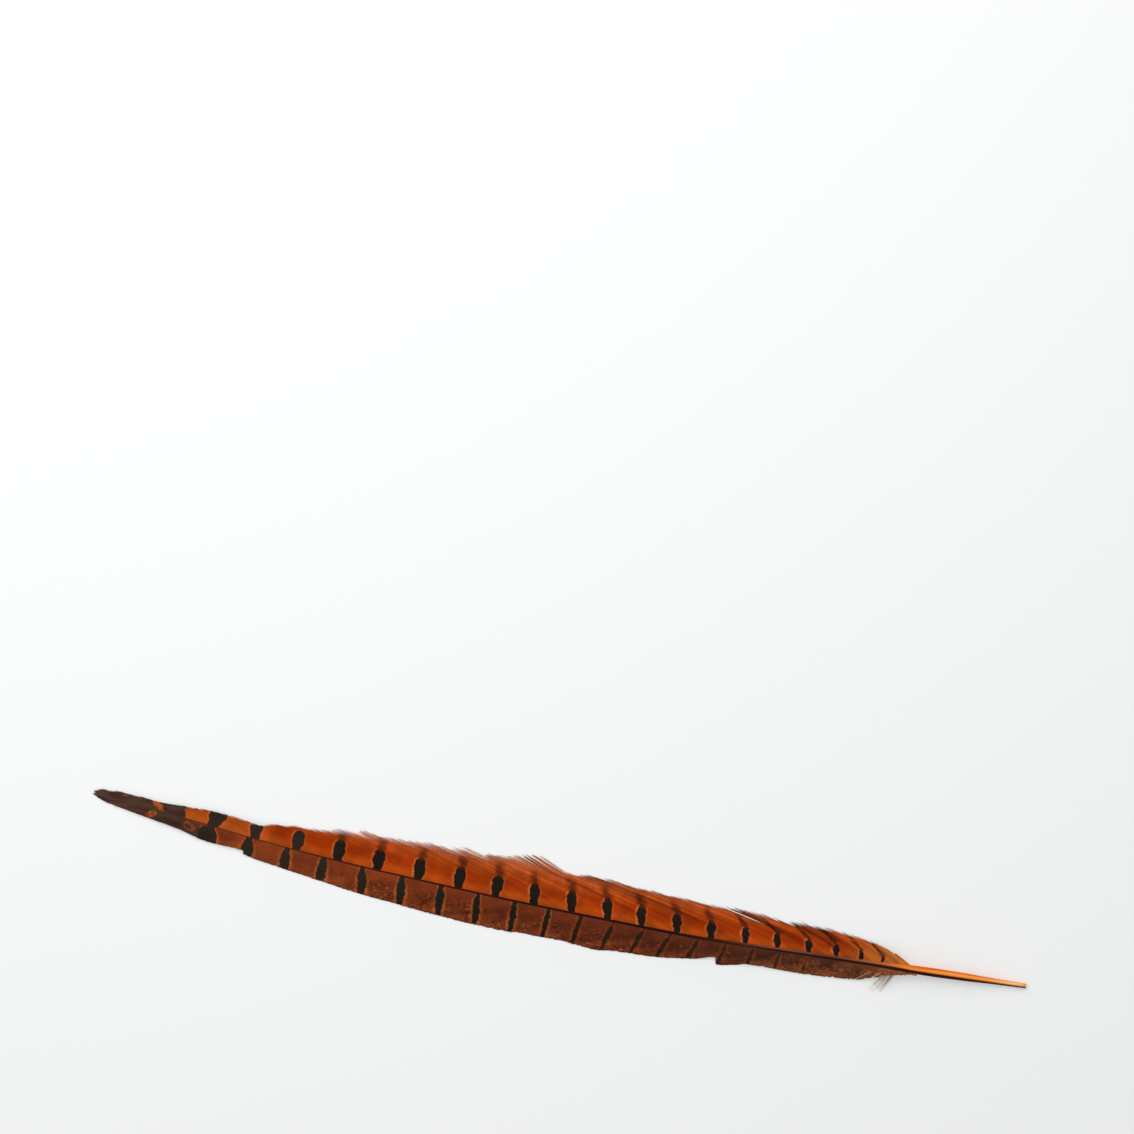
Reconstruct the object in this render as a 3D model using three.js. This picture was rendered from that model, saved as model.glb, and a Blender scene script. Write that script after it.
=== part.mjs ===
// A cock pheasant's tail feather, dyed orange, lying with its upper side up on the margins of its vanes.
//
// Millimetres, +Z up. +X runs from the tip to the quill end, +Y towards the fringed vane. The origin is
// on the surface that the feather lies on, under the middle of the feather's box. Distances "along" are
// measured from the tip, and widths "across" from the shaft's centre line.
import * as THREE from 'three';

// ---- driving dimensions ----------------------------------------------------------------------------

const LENGTH = 400; // straight from the tip to the quill end
const CHORD_Y = 5; // the straight line between those two ends lies this far towards the fringed vane
const ARCH = 4.5; // how far the shaft's underside rises off the surface at mid length
const GAP = 0.3; // between the shaft and each vane
const VANE_THICKNESS = 0.6;
const VANE_ROOT = 1.5; // how high up the shaft's side a vane starts, over the shaft's radius
const LEAST_WIDTH = 0.4; // of a vane, where it runs out along the shaft

// Each profile is a list of [along, size] points, joined by a smooth curve that never overshoots them.
const SHAFT_BOW = [
  [0, 0.2], [42, 3.2], [84, 6.4], [126, 8], [190, 8.8], [252, 8.4], [295, 6.3], [336, 4], [400, 0.4],
];
const SHAFT_WIDTH = [
  [0, 0.5], [84, 0.7], [168, 1], [252, 1.4], [295, 1.8], [336, 2.6], [349, 3.4], [360, 3.7], [372, 3.4],
  [386, 2.6], [400, 2],
];
const FRINGED_OUTLINE = [
  [0, 1], [4, 2.4], [8, 3.2], [25, 3.7], [42, 5.3], [55, 6.6], [69, 6.1], [76, 7.8], [84, 9.2],
  [101, 12.2], [118, 14.7], [135, 15.7], [151, 16.3], [168, 17.2], [177, 18.4], [187, 21.1], [190, 21.2],
  [194, 19.3], [198, 17.4], [206, 15.9], [214, 16.8], [252, 15.3], [278, 14.8], [294, 13.1], [315, 11.9],
  [332, 9.3], [341, 6.5], [347, 4.2], [353, 2.8],
];
const MOTTLED_OUTLINE = [
  [0, 1], [4, 2.4], [8, 3], [21, 4], [38, 5.3], [50, 7], [65.9, 6.3], [66.5, 7.8], [84, 9.1], [97, 10],
  [114, 11.3], [130, 12.2], [147, 13], [168, 13.6], [181, 13.6], [189, 12.9], [202, 12.8], [219, 13.8],
  [227, 12.7], [244, 11.7], [261, 9.4], [269.5, 7.4], [270.5, 10.4], [278, 9.3], [284, 8.3], [303, 8.8],
  [328, 7.9], [336, 5.9], [343, 3.8], [354, 2.4],
];
const FRINGED_REACH = 11.5; // across, where the sloping vane comes down to the surface and lies flat
const MOTTLED_REACH = 10.2;

const SHAFT_SIDES = 10;
const SHAFT_STEP = 8; // along, between two rings of the shaft
const VANE_STEP = 6; // along, between two rows of a vane, besides the rows at its outline's points
const VANE_CELLS = 5; // across

// The few downy barbs at the foot of the mottled vane, as one flat leaf that leans from the shaft's side,
// below the vane, down to the surface. Its heights are those of its underside.
const DOWN_FOOT = { along: 344.5, across: 1.9, height: 2 };
const DOWN_TIP = { along: 337.5, across: 11.4, height: 0.2 };
const DOWN_WIDTH = 4.4;
const DOWN_BULGE = 0.6; // where its sides bulge most, as a share of its length
const DOWN_THICKNESS = 0.5;

// ---- curves ------------------------------------------------------------------------------------------

// The slope of a monotone cubic through the points, at point i.
function slopeAt(points, i) {
  if (i === 0 || i === points.length - 1) return 0;
  const [x0, y0] = points[i - 1];
  const [x1, y1] = points[i];
  const [x2, y2] = points[i + 1];
  const before = (y1 - y0) / (x1 - x0);
  const after = (y2 - y1) / (x2 - x1);
  if (before * after <= 0) return 0;
  return (2 * before * after) / (before + after);
}

function valueAt(points, along) {
  const last = points.length - 1;
  const at = THREE.MathUtils.clamp(along, points[0][0], points[last][0]);
  let i = 0;
  while (i < last - 1 && at > points[i + 1][0]) i += 1;
  const [x0, y0] = points[i];
  const [x1, y1] = points[i + 1];
  const span = x1 - x0;
  const t = (at - x0) / span;
  const rise = y1 - y0;
  const start = slopeAt(points, i) * span;
  const end = slopeAt(points, i + 1) * span;
  return y0 + t * (start + t * (3 * rise - 2 * start - end + t * (start + end - 2 * rise)));
}

const shaftRadius = (along) => valueAt(SHAFT_WIDTH, along) / 2;
const shaftY = (along) => CHORD_Y - valueAt(SHAFT_BOW, along);
const undersideOfShaft = (along) => ARCH * Math.sin((Math.PI * along) / LENGTH);
const toX = (along) => along - LENGTH / 2;

// ---- closed meshes -----------------------------------------------------------------------------------

function meshOf(points, faces) {
  const geometry = new THREE.BufferGeometry();
  geometry.setAttribute('position', new THREE.Float32BufferAttribute(points.flat(), 3));
  geometry.setIndex(faces.flat());
  geometry.computeVertexNormals();
  return geometry;
}

const quad = (a, b, c, d) => [[a, b, c], [a, c, d]];

// A closed sheet of rows along +X and columns across, from a function that gives each column of each
// row as { x, y, bottom, top }. The columns run towards +Y, or towards -Y where flipped is true.
function closedSheet(rowCount, columnCount, pointAt, flipped) {
  const points = [];
  for (let row = 0; row < rowCount; row += 1) {
    for (let column = 0; column < columnCount; column += 1) {
      const { x, y, bottom, top } = pointAt(row, column);
      points.push([x, y, bottom], [x, y, top]);
    }
  }
  const below = (row, column) => 2 * (row * columnCount + column);
  const above = (row, column) => below(row, column) + 1;
  const faces = [];
  for (let row = 0; row < rowCount - 1; row += 1) {
    for (let column = 0; column < columnCount - 1; column += 1) {
      const corners = [[row, column], [row + 1, column], [row + 1, column + 1], [row, column + 1]];
      faces.push(...quad(...corners.map(([r, c]) => above(r, c))));
      faces.push(...quad(...corners.map(([r, c]) => below(r, c)).reverse()));
    }
    const last = columnCount - 1;
    faces.push(...quad(below(row, 0), below(row + 1, 0), above(row + 1, 0), above(row, 0)));
    faces.push(...quad(above(row, last), above(row + 1, last), below(row + 1, last), below(row, last)));
  }
  for (let column = 0; column < columnCount - 1; column += 1) {
    const end = rowCount - 1;
    faces.push(...quad(above(0, column), above(0, column + 1), below(0, column + 1), below(0, column)));
    faces.push(
      ...quad(below(end, column), below(end, column + 1), above(end, column + 1), above(end, column)),
    );
  }
  return meshOf(points, flipped ? faces.map(([a, b, c]) => [c, b, a]) : faces);
}

// ---- the pieces --------------------------------------------------------------------------------------

// The calamus and the rachis are one tapering piece, bowed sideways and arched off the surface.
function shaftGeometry() {
  const ringCount = LENGTH / SHAFT_STEP + 1;
  const points = [];
  for (let ring = 0; ring < ringCount; ring += 1) {
    const along = ring * SHAFT_STEP;
    const radius = shaftRadius(along);
    for (let side = 0; side < SHAFT_SIDES; side += 1) {
      const angle = (2 * Math.PI * (side + 0.5)) / SHAFT_SIDES;
      const height = undersideOfShaft(along) + radius * (1 + Math.sin(angle));
      points.push([toX(along), shaftY(along) + radius * Math.cos(angle), height]);
    }
  }
  const tipCentre = points.length;
  points.push([toX(0), shaftY(0), shaftRadius(0)]);
  const endCentre = points.length;
  points.push([toX(LENGTH), shaftY(LENGTH), shaftRadius(LENGTH)]);

  const faces = [];
  const corner = (ring, side) => ring * SHAFT_SIDES + (side % SHAFT_SIDES);
  for (let side = 0; side < SHAFT_SIDES; side += 1) {
    for (let ring = 0; ring < ringCount - 1; ring += 1) {
      const corners = [[ring, side], [ring, side + 1], [ring + 1, side + 1], [ring + 1, side]];
      faces.push(...quad(...corners.map(([r, s]) => corner(r, s))));
    }
    faces.push([tipCentre, corner(0, side + 1), corner(0, side)]);
    faces.push([endCentre, corner(ringCount - 1, side), corner(ringCount - 1, side + 1)]);
  }
  return meshOf(points, faces);
}

// One vane, as a thin sheet that leaves the side of the shaft, slopes down and lies flat past its reach.
// side is 1 for the fringed vane, towards +Y, and -1 for the mottled one.
function vaneGeometry(outline, reach, side) {
  const lastAlong = outline[outline.length - 1][0];
  const rows = new Set(outline.map(([along]) => along));
  for (let along = 0; along < lastAlong; along += VANE_STEP) rows.add(along);
  const alongs = [...rows].sort((a, b) => a - b);
  const pointAt = (row, column) => {
    const along = alongs[row];
    const radius = shaftRadius(along);
    const inner = radius + GAP;
    const outer = Math.max(valueAt(outline, along), inner + LEAST_WIDTH);
    const across = inner + ((outer - inner) * column) / VANE_CELLS;
    const attached = undersideOfShaft(along) + VANE_ROOT * radius - VANE_THICKNESS / 2;
    const slope = THREE.MathUtils.clamp((across - inner) / (reach - inner), 0, 1);
    const bottom = (attached * (1 + Math.cos(Math.PI * slope))) / 2;
    return { x: toX(along), y: shaftY(along) + side * across, bottom, top: bottom + VANE_THICKNESS };
  };
  return closedSheet(alongs.length, VANE_CELLS + 1, pointAt, side < 0);
}

const onDownSide = ({ along, across, height }) =>
  new THREE.Vector3(toX(along), shaftY(along) - across, height);

// A leaf-shaped plate along +X, with its foot at the origin and its underside at zero.
function downGeometry(length) {
  const outline = new THREE.Shape();
  outline.moveTo(0, 0);
  outline.quadraticCurveTo(length * DOWN_BULGE, -DOWN_WIDTH, length, 0);
  outline.quadraticCurveTo(length * DOWN_BULGE, DOWN_WIDTH, 0, 0);
  return new THREE.ExtrudeGeometry(outline, {
    depth: DOWN_THICKNESS,
    bevelEnabled: false,
    curveSegments: 8,
  });
}

// ---- the feather -------------------------------------------------------------------------------------

function piece(name, geometry, color, roughness) {
  const material = new THREE.MeshStandardMaterial({ color, roughness, metalness: 0 });
  const mesh = new THREE.Mesh(geometry, material);
  mesh.name = name;
  return mesh;
}

const feather = new THREE.Group();
feather.add(piece('shaft', shaftGeometry(), 0xdf7d2a, 0.35));
feather.add(piece('fringed_vane', vaneGeometry(FRINGED_OUTLINE, FRINGED_REACH, 1), 0x99400f, 0.6));
feather.add(piece('mottled_vane', vaneGeometry(MOTTLED_OUTLINE, MOTTLED_REACH, -1), 0x6c2f16, 0.6));

const downFoot = onDownSide(DOWN_FOOT);
const downRun = onDownSide(DOWN_TIP).sub(downFoot);
const down = piece('basal_down', downGeometry(downRun.length()), 0xc7bbb0, 0.9);
down.position.copy(downFoot);
down.rotation.order = 'ZYX';
down.rotation.z = Math.atan2(downRun.y, downRun.x);
down.rotation.y = Math.asin(-downRun.z / downRun.length());
feather.add(down);

export default feather;
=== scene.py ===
"""A cock pheasant's tail feather, dyed orange, lying on a pale floor and seen from above.

Lengths are in millimetres until a mesh is made, which is in metres. "Along" is the distance from the
feather's tip, and "across" the distance from the shaft's centre line towards a vane's margin. Angles are in
degrees from the shaft. A curve's points are pairs of a place along the feather and the value there.
"""
import math

import bmesh
import bpy
import numpy as np
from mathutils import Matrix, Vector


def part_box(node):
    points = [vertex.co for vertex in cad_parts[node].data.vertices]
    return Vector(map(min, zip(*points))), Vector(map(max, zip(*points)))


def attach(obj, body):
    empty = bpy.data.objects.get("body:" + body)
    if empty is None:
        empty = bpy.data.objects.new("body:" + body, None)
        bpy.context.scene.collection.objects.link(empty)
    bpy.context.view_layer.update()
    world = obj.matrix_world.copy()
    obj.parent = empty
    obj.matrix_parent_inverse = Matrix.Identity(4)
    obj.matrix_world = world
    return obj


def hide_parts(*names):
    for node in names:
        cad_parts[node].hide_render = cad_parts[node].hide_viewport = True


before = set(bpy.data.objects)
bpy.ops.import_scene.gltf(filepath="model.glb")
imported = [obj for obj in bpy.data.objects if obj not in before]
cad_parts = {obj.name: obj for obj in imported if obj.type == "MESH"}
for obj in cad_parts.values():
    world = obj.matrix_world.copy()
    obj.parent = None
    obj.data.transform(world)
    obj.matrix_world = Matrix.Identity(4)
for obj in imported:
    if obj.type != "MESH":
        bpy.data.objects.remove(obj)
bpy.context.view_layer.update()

MILLIMETRE = 0.001
TIP_X, END_X = (corner[0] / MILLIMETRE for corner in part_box("shaft"))
LENGTH = END_X - TIP_X
CHANCE = np.random.default_rng(7)

# ---- numbers that change smoothly ----


def curve(points):
    """A smooth curve through the points that never overshoots them, as a function of an array."""
    places, values = np.array(points, float).T
    steps = np.diff(values) / np.diff(places)
    slopes = np.concatenate([steps[:1], np.zeros(len(steps) - 1), steps[-1:]])
    before, after = steps[:-1], steps[1:]
    level = before * after > 0
    slopes[1:-1][level] = 2 * before[level] * after[level] / (before[level] + after[level])

    def value(place):
        place = np.clip(place, places[0], places[-1])
        i = np.clip(np.searchsorted(places, place, side="right") - 1, 0, len(steps) - 1)
        span = places[i + 1] - places[i]
        t = (place - places[i]) / span
        change = values[i + 1] - values[i]
        start, end = slopes[i] * span, slopes[i + 1] * span
        bend = start + end - 2 * change
        return values[i] + t * (start + t * (change - start - bend + t * bend))

    return value


def constant(value):
    """The points of a curve that keeps one value all along the feather."""
    return [(0, value), (LENGTH, value)]


def rise(value, low, high):
    """0 up to low, 1 from high on, and a smooth step between them."""
    t = np.clip((value - low) / (high - low), 0, 1)
    return t * t * (3 - 2 * t)


def plateau(value, start, full, last, end):
    """1 from full to last, 0 up to start and from end on, and a smooth step on each side."""
    return rise(value, start, full) * (1 - rise(value, last, end))


def wander(places, size, spacing):
    """A smooth random curve between -size and size, with a new value every spacing."""
    knots = np.arange(places.min() - spacing, places.max() + 2 * spacing, spacing)
    return size * curve(list(zip(knots, CHANCE.uniform(-1, 1, len(knots)))))(places)


def wanders(places, sizes_and_spacings):
    return sum(wander(places, size, spacing) for size, spacing in sizes_and_spacings)


def mostly_small(count):
    """Random numbers from 0 to 1, most of them near 0."""
    return CHANCE.uniform(0, 1, count) ** 3


# ---- the feather's measures, as its solids have them ----

CHORD_Y = 5.0  # the straight line from the tip to the quill end lies this far towards the fringed vane
ARCH = 4.5  # how far the shaft's underside rises off the floor at mid length
GAP = 0.3
VANE_THICKNESS = 0.6
VANE_ROOT = 1.5  # how high up the shaft's side a vane starts, over the shaft's radius
SLOPE_STEP = 0.1  # across, over which a vane's slope is measured
CALAMUS_WIDTH = [(336, 2.6), (349, 3.4), (360, 3.7), (372, 3.4), (386, 2.6), (400, 2)]
SOLID_SHAFT_WIDTH = [(0, 0.5), (84, 0.7), (168, 1), (252, 1.4), (295, 1.8)] + CALAMUS_WIDTH
SHAFT_BOW = [
    (0, 0.2), (42, 3.2), (84, 6.4), (126, 8), (190, 8.8), (252, 8.4), (295, 6.3), (336, 4), (400, 0.4),
]
solid_radius = curve([(along, width / 2) for along, width in SOLID_SHAFT_WIDTH])
shaft_bow = curve(SHAFT_BOW)


def shaft_y(along):
    return CHORD_Y - shaft_bow(along)


def attachment(along):
    """The height where the vanes' middle plane meets the shaft."""
    lift = ARCH * np.sin(np.pi * np.clip(along, 0, LENGTH) / LENGTH)
    return lift + VANE_ROOT * solid_radius(along)


def vane_height(along, across, reach):
    """The height of a vane's middle plane, which slopes down and lies flat past its reach."""
    inner = solid_radius(along) + GAP
    slope = np.clip((across - inner) / (reach - inner), 0, 1)
    underside = (attachment(along) - VANE_THICKNESS / 2) * (1 + np.cos(np.pi * slope)) / 2
    return underside + VANE_THICKNESS / 2


def vane_slope(along, across, reach):
    """How much that plane rises for each millimetre across."""
    farther = vane_height(along, across + SLOPE_STEP, reach)
    return (farther - vane_height(along, across, reach)) / SLOPE_STEP


# ---- the shaft and the vanes as they look ----

SHAFT_WIDTH = [
    (0, 0.2), (42, 0.4), (84, 0.65), (126, 0.92), (168, 1.02), (210, 1.18), (252, 1.42), (273, 1.55),
    (294, 1.78), (315, 2.05),
] + CALAMUS_WIDTH
PAST_TIP = 1.3  # how far the barbs reach past the shaft's tip
shaft_radius = curve([(along, width / 2) for along, width in SHAFT_WIDTH])


class Vane:
    """The measures of one vane. Those given as lists are curves, and the others are kept as they are.

    side is 1 towards +Y and -1 towards -Y. The vane lies flat past its reach, and last_root is the foot
    of its last barb. A barb leaves the shaft at foot_angle and bends towards free_angle. Up to held it
    holds on to its neighbours, past that it is as wide as hair, and it ends at the outline, in a point as
    long as taper. It can fall short by the share ragged, and the outline wavers by the share waver.
    streaks is how much the barbs differ in lightness. A seam is (along, across, strength) and a split
    (along, across, opening, length), for where it begins, from which it follows the barbs outwards. A
    seam is a painted shadow between barbs, or a painted highlight where its strength is below 0.

    bars are the middles of the dark bars, half_bars their half widths, full_bar where across they are
    widest, and bar_end where they close. foot_bar is the share of that width at the shaft, and
    outer_narrowing the share that goes near the margin. They lean by lean, and by fringe_lean more past
    bar_end.
    """

    def __init__(self, bars, **measures):
        self.bar_number = curve([(along, number) for number, along in enumerate(bars)])
        for label, measure in measures.items():
            setattr(self, label, curve(measure) if isinstance(measure, list) else measure)


FRINGED = Vane(
    name="fringed_barbs", node="fringed_vane", slot="orange_vane", side=1, reach=11.5, last_root=351.0,
    taper=2.0, foot_bar=0.66, outer_narrowing=0.0,
    outline=[
        (-PAST_TIP, 0), (0, 1), (4, 2.6), (6, 2.5), (9, 3.4), (25, 3.7), (42, 5.3), (55, 6.6), (69, 6.1),
        (76, 7.8), (84, 9.2), (97, 11.4), (105, 13), (118, 14.7), (135, 15.8), (145, 16.8), (152, 16.1),
        (158, 17.2), (166, 15.6), (168, 17.2), (177, 18.4), (179, 19.6), (187, 20.9), (190, 20.9),
        (194, 19.2), (198, 17.4), (206, 15.9), (214, 16.8), (252, 15.3), (278, 14.8), (294, 13.1),
        (315, 11.9), (332, 9.3), (341, 6.6), (347, 4.4), (353, 3),
    ],
    held=[
        (0, 9), (90, 8.9), (105, 10), (126, 11.7), (147, 12.5), (168, 12.8), (182, 14), (215, 14.4),
        (252, 13.4), (273, 12.5), (290, 11), (315, 9.8), (336, 7.5), (353, 5),
    ],
    foot_angle=[(0, 12), (60, 20), (140, 30), (355, 34)],
    free_angle=[
        (0, 4), (60, 7), (140, 12), (190, 13), (220, 12), (290, 10), (310, 13), (330, 18), (355, 20),
    ],
    hair=[
        (0, 0.09), (110, 0.08), (160, 0.09), (175, 0.17), (195, 0.21), (225, 0.17), (290, 0.15), (355, 0.17),
    ],
    waver=[(0, 0.04), (355, 0.03)],
    ragged=[(0, 0.29), (12, 0.09), (355, 0.09)],
    streaks=[(0, 0.12), (150, 0.14), (215, 0.26), (260, 0.4), (300, 0.5), (355, 0.65)],
    splits=((302, 9.6, 1.3, 9), (290, 8.6, 0.5, 9), (204, 15, 0.4, 9)),
    # seams: painted shadows between barbs, and a painted highlight where the strength is below 0
    seams=(
        (215.4, 10.5, 0.4), (263.7, 8.4, 0.35), (262.5, 7.6, -0.3), (296.5, 7.1, 0.45), (309.6, 6.8, 0.45),
        (320.9, 6.5, 0.45), (201.9, 15.0, 0.4), (191.4, 15.8, 0.4), (178.8, 13.4, 0.35), (174.6, 15.6, 0.3),
        (151, 14.2, 0.4), (240, 9.5, 0.3),
    ),
    bars=[
        35.2, 52.8, 69.8, 87.9, 105.6, 122.8, 140.3, 157.5, 173.7, 189.7, 205.7, 221, 235.5, 250.7, 265.4,
        280.1, 293.6, 307, 318.6, 329.3, 338.6, 347,
    ],
    half_bars=[
        (43, 0), (45, 3.7), (56, 3.7), (69.8, 2.75), (105, 2.65), (140, 2.5), (174, 2.35), (206, 2.1),
        (250, 2), (294, 1.5), (318, 1.3), (338, 0.7), (350, 0),
    ],
    full_bar=[(0, 5), (250, 5), (294, 4), (318, 3.2), (338, 2.4)],
    bar_end=[
        (0, 20), (60, 14), (74, 8.5), (88, 8.3), (105, 9.2), (206, 9.5), (250, 8.8), (293, 6.9),
        (318, 5.9), (338, 4.2), (353, 3),
    ],
    lean=[(0, 0.3), (52, 0.3), (66, 0), (174, 0), (200, -0.15), (355, -0.15)],
    fringe_lean=[(0, 0), (160, 0), (190, -0.25), (210, -0.4), (262, -0.6), (290, -1.4), (355, -1.2)],
)
MOTTLED = Vane(
    name="mottled_barbs", node="mottled_vane", slot="brown_vane", side=-1, reach=10.2, last_root=354.5,
    taper=0.5, foot_bar=0.6, outer_narrowing=0.3,
    outline=[
        (-PAST_TIP, 0), (0, 1), (4, 2.4), (8, 3), (21, 4), (38, 5.3), (50, 7), (65.9, 6.3), (66.5, 7.8),
        (84, 9.1), (97, 10), (114, 11.3), (130, 12.2), (147, 13), (168, 13.6), (181, 13.6), (189, 12.9),
        (202, 12.8), (219, 13.6), (227, 12.7), (244, 11.7), (261, 9.4), (269.5, 7.4), (270.5, 10.4),
        (278, 9.3), (284, 8.3), (303, 8.8), (328, 7.9), (336, 5.9), (343, 3.8), (349, 2.7), (354, 2),
    ],
    held=constant(40),  # past the margin, so that all of it holds together
    foot_angle=[(0, 12), (60, 20), (140, 30), (325, 32), (345, 50), (357, 55)],
    free_angle=[(0, 4), (60, 7), (140, 12), (320, 15), (342, 34), (357, 42)],
    hair=constant(0.1),
    waver=[(0, 0.03), (40, 0.008), (300, 0.008), (355, 0.05)],
    ragged=[(0, 0.25), (12, 0.03), (300, 0.03), (357, 0.15)],
    streaks=[(0, 0.12), (150, 0.14), (260, 0.22), (330, 0.26), (355, 0.35)],
    splits=((343.8, 1.7, 0.5, 1.5), (340, 2, 0.5, 2), (336.2, 2.2, 0.45, 2.5)),
    # seams: painted shadows between barbs, and a painted highlight where the strength is below 0
    seams=((333, 2.4, 0.35), (326, 3, -0.3), (250, 3, 0.2)),
    bars=[
        31, 49.9, 67.7, 84.1, 100.1, 117.3, 134.2, 151, 166.8, 182.5, 196.8, 210.3, 223.8, 236.4, 247.7,
        259.9, 272.1, 283.9, 295.3, 307, 318, 330, 343,
    ],
    half_bars=[
        (41, 0), (43, 4.4), (54, 4.4), (67.7, 2.5), (84, 2.2), (117, 1.9), (151, 1.8), (167, 1.6),
        (182, 1.4), (197, 1.2), (224, 1.1), (248, 1.05), (272, 0.9), (290, 0.7), (307, 0.45), (320, 0),
    ],
    full_bar=constant(4.5),
    bar_end=constant(40),  # past the margin, so that the bars reach it
    lean=[
        (0, 0), (84, 0), (100, 0.02), (117, 0.13), (134, 0.1), (167, 0.07), (190, 0), (210, -0.1),
        (224, -0.26), (260, -0.34), (275, -0.15), (353, -0.1),
    ],
    fringe_lean=constant(0),
)

# ---- barbs ----

FIRST_ROOT = 1.0
BARB_PITCH = 0.55  # between two feet, along the shaft
FOOT_JITTER = 0.06
FOOT_DEPTH = 0.7  # a foot's distance from the shaft's centre, over the shaft's radius
FOOT_BEND = 12.0  # how soon a barb bends from its foot angle towards its free angle
PATH_STEP = 0.25
LONGEST_BARB = 80.0
SHORTEST_BARB = 1.5
GAPS = (0.06, 0.6)  # the least and the most between two barbs' paths
SPLIT_SPREAD = 9.0  # along the shaft, for the barbs that move aside for a split

# How far the barbs stray, and how far apart on the shaft they stray differently.
ANGLE_WANDER = (0.5, 5)
HEIGHT_WANDER = (0.05, 1.7)
MARGIN_WANDER = (1, 6)  # as a share of the vane's waver
SHADE_WANDERS = ((0.6, 2.5), (0.5, 6))  # as shares of the vane's streaks
PATTERN_WANDERS = ((0.17, 1.1), (0.119, 4))  # of the dark markings, along the feather

# The loose ends. Distances "beyond" are across, past where the barbs hold together.
BUNCH_WIDTHS = (1.6, 7.0)  # along the shaft
BUNCHING = 0.5  # the share of the way to their bunch's middle that they move,
BUNCHED = (0, 6)  # between these beyond
BUNCH_REACH = (0.75, 1.08)  # the share of the fringe that a bunch fills
STRAGGLING = 0.5  # the share that one barb can fall short of that
TUFT = (222, 254, 262, 274)  # feet of the barbs that turn out into the longest tuft
TUFT_TURN = 12.0
TUFT_BEND = (13.5, 16.5)  # across, between these
TUFT_EVENNESS = 0.9  # the share of the shortfall that is missing there

SINGLE_SHADE = 0.3  # what one barb strays besides, as a share of the streaks
STREAKS_GROW = (3, 11)  # across
# The seams' painted shadows and painted highlights: how wide they are, and where they grow in.
SEAM_WIDTH = 1.8
SEAM_GROWS = (-1, 4)  # along, from where it begins


def in_tuft(vane, roots):
    return plateau(roots, *TUFT) * (vane is FRINGED)


def lay_barbs(vane):
    """The paths of a vane's barbs from their feet to past the margin, with a row for each barb."""
    roots = np.arange(FIRST_ROOT, vane.last_root, BARB_PITCH)
    roots = roots + CHANCE.uniform(-FOOT_JITTER, FOOT_JITTER, len(roots))
    foot = vane.foot_angle(roots)
    free = vane.free_angle(roots) + wander(roots, *ANGLE_WANDER)
    turn = TUFT_TURN * in_tuft(vane, roots)
    along, across = roots, FOOT_DEPTH * shaft_radius(roots)
    alongs, acrosses, angles = [], [], []
    for step in range(int(LONGEST_BARB / PATH_STEP)):
        angle = free + (foot - free) * math.exp(-step * PATH_STEP / FOOT_BEND)
        angle = np.radians(angle + turn * rise(across, *TUFT_BEND))
        alongs.append(along)
        acrosses.append(across)
        angles.append(angle)
        along = along - PATH_STEP * np.cos(angle)
        across = across + PATH_STEP * np.sin(angle)
    return roots, np.array(alongs).T, np.array(acrosses).T, np.array(angles).T


def neighbour_gaps(along, across, angle):
    """The distance square to each barb from its path to the path of the next barb towards the quill."""
    gaps = np.empty_like(across)
    for i in range(len(along) - 1):
        beside = np.interp(along[i], along[i + 1][::-1], across[i + 1][::-1])
        gaps[i] = (beside - across[i]) * np.cos(angle[i])
    gaps[-1] = gaps[-2]
    return np.clip(gaps, *GAPS)


def root_through(roots, along, across, place):
    """Where the barb that passes nearest to a place (along, across) has its foot."""
    passing = [np.interp(-place[0], -row, beside) for row, beside in zip(along, across)]
    return roots[np.argmin(np.abs(np.array(passing) - place[1]))]


def open_splits(vane, roots, along, across):
    """Moves the barbs apart on the two sides of each split."""
    moved = across.copy()
    for start, height, opening, length in vane.splits:
        middle = root_through(roots, along, across, (start, height)) + BARB_PITCH / 2
        push = np.sign(roots - middle) * np.exp(-np.abs(roots - middle) / SPLIT_SPREAD)
        moved += opening / 2 * push[:, None] * rise(start - along, 0, length)
    return moved


def bunch(vane, roots, along, across):
    """Draws the loose ends together. Also gives each barb's share of the fringe that it reaches, and
    whether it is the first of its bunch.
    """
    edges = np.cumsum(CHANCE.uniform(*BUNCH_WIDTHS, len(roots)))
    bunches = np.searchsorted(edges, roots)
    middles = np.array([roots[bunches == one].mean() for one in bunches])
    beyond = across - vane.held(along)
    drawn = along + BUNCHING * (middles - roots)[:, None] * rise(beyond, *BUNCHED)
    reach = CHANCE.uniform(*BUNCH_REACH, len(edges) + 1)[bunches]
    reach = reach * (1 - STRAGGLING * mostly_small(len(roots)))
    reach = 1 - (1 - reach) * (1 - TUFT_EVENNESS * in_tuft(vane, roots))
    return drawn, reach, np.diff(bunches, prepend=bunches[0]) > 0


def barb_ends(vane, roots, along, across, reach):
    """The number of each barb's last step, where it comes to the margin."""
    short = vane.ragged(along) * mostly_small(len(roots))[:, None]
    waver = vane.waver(along) * wander(roots, *MARGIN_WANDER)[:, None]
    margin = vane.outline(along) * (1 - short + waver)
    held = vane.held(along)
    limit = np.minimum(margin, held) + reach[:, None] * np.clip(margin - held, 0, None)
    inside = (across < limit) & (along > -PAST_TIP)
    last = inside.shape[1] - 1
    ends = np.where(inside.all(axis=1), last, np.argmin(inside, axis=1))
    return np.maximum(ends, int(SHORTEST_BARB / PATH_STEP))


def shade_of(vane, roots, along, across):
    """How light each place of each barb is: streaks from barb to barb, and the seams, which are a painted
    shadow where darker and a painted highlight where lighter.
    """
    streak = wanders(roots, SHADE_WANDERS) + SINGLE_SHADE * CHANCE.uniform(-1, 1, len(roots))
    contrast = vane.streaks(along) * (0.6 + 0.9 * rise(across, *STREAKS_GROW))
    shade = 1 + streak[:, None] * contrast
    # each seam darkens barbs as a painted shadow, or lightens them as a painted highlight where its strength
    # is below 0
    for start, height, strength in vane.seams:
        near = np.exp(-((roots - root_through(roots, along, across, (start, height))) / SEAM_WIDTH) ** 2)
        shade = shade * (1 - strength * near[:, None] * rise(start - along, *SEAM_GROWS))
    return shade


# ---- meshes ----

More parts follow.
